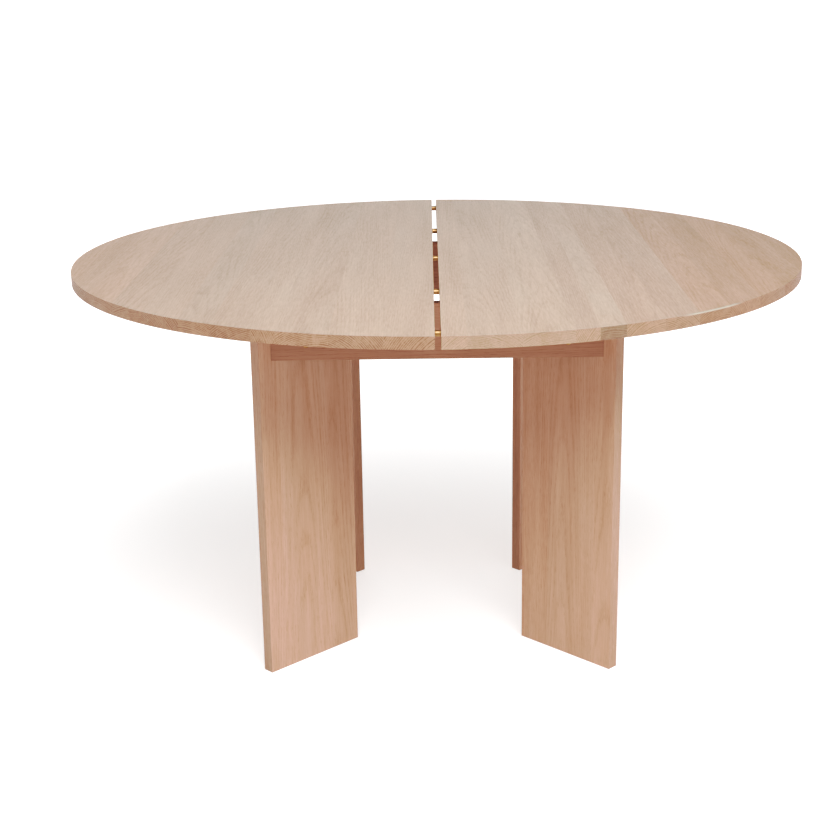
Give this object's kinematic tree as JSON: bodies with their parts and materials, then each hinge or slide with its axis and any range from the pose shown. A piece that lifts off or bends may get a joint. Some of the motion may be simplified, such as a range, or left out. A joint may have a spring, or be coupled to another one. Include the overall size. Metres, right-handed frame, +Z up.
{
  "type": "round split-top dining table",
  "caption": "Fixed round dining table in pale oak: half-round top panels joined by brass rods across an open slit, on slab legs set on the diagonals and a square frame of rails.",
  "frame": {"origin": "on the floor, under the centre of the top", "axes": "+Z up, X across the slit with +X to the right, Y along the slit with -Y at the front"},
  "size_m": [1.4, 1.4, 0.738],
  "materials": {
    "oak_top": "matt soaped oak, grain along the slit",
    "oak_legs": "matt soaped oak, upright grain",
    "oak_frame": "matt soaped oak, grain along each rail",
    "brass": "satin",
    "steel": "zinc plated"
  },
  "bodies": {
    "root": {"top_left": "oak_top", "top_right": "oak_top", "rod_front": "brass", "rod_front_middle": "brass", "rod_centre": "brass", "rod_rear_middle": "brass", "rod_rear": "brass", "leg_front_right": "oak_legs", "leg_rear_right": "oak_legs", "leg_rear_left": "oak_legs", "leg_front_left": "oak_legs", "rail_front": "oak_frame", "corner_block_front_left": "oak_frame", "rail_bolt_front_left_lower": "brass", "rail_bolt_front_left_upper": "brass", "top_screw_front_left": "steel", "corner_block_front_right": "oak_frame", "rail_bolt_front_right_lower": "brass", "rail_bolt_front_right_upper": "brass", "top_screw_front_right": "steel", "rail_right": "oak_frame", "corner_block_right_front": "oak_frame", "rail_bolt_right_front_lower": "brass", "rail_bolt_right_front_upper": "brass", "top_screw_right_front": "steel", "corner_block_right_rear": "oak_frame", "rail_bolt_right_rear_lower": "brass", "rail_bolt_right_rear_upper": "brass", "top_screw_right_rear": "steel", "rail_rear": "oak_frame", "corner_block_rear_right": "oak_frame", "rail_bolt_rear_right_lower": "brass", "rail_bolt_rear_right_upper": "brass", "top_screw_rear_right": "steel", "corner_block_rear_left": "oak_frame", "rail_bolt_rear_left_lower": "brass", "rail_bolt_rear_left_upper": "brass", "top_screw_rear_left": "steel", "rail_left": "oak_frame", "corner_block_left_rear": "oak_frame", "rail_bolt_left_rear_lower": "brass", "rail_bolt_left_rear_upper": "brass", "top_screw_left_rear": "steel", "corner_block_left_front": "oak_frame", "rail_bolt_left_front_lower": "brass", "rail_bolt_left_front_upper": "brass", "top_screw_left_front": "steel"}
  },
  "joints": []
}
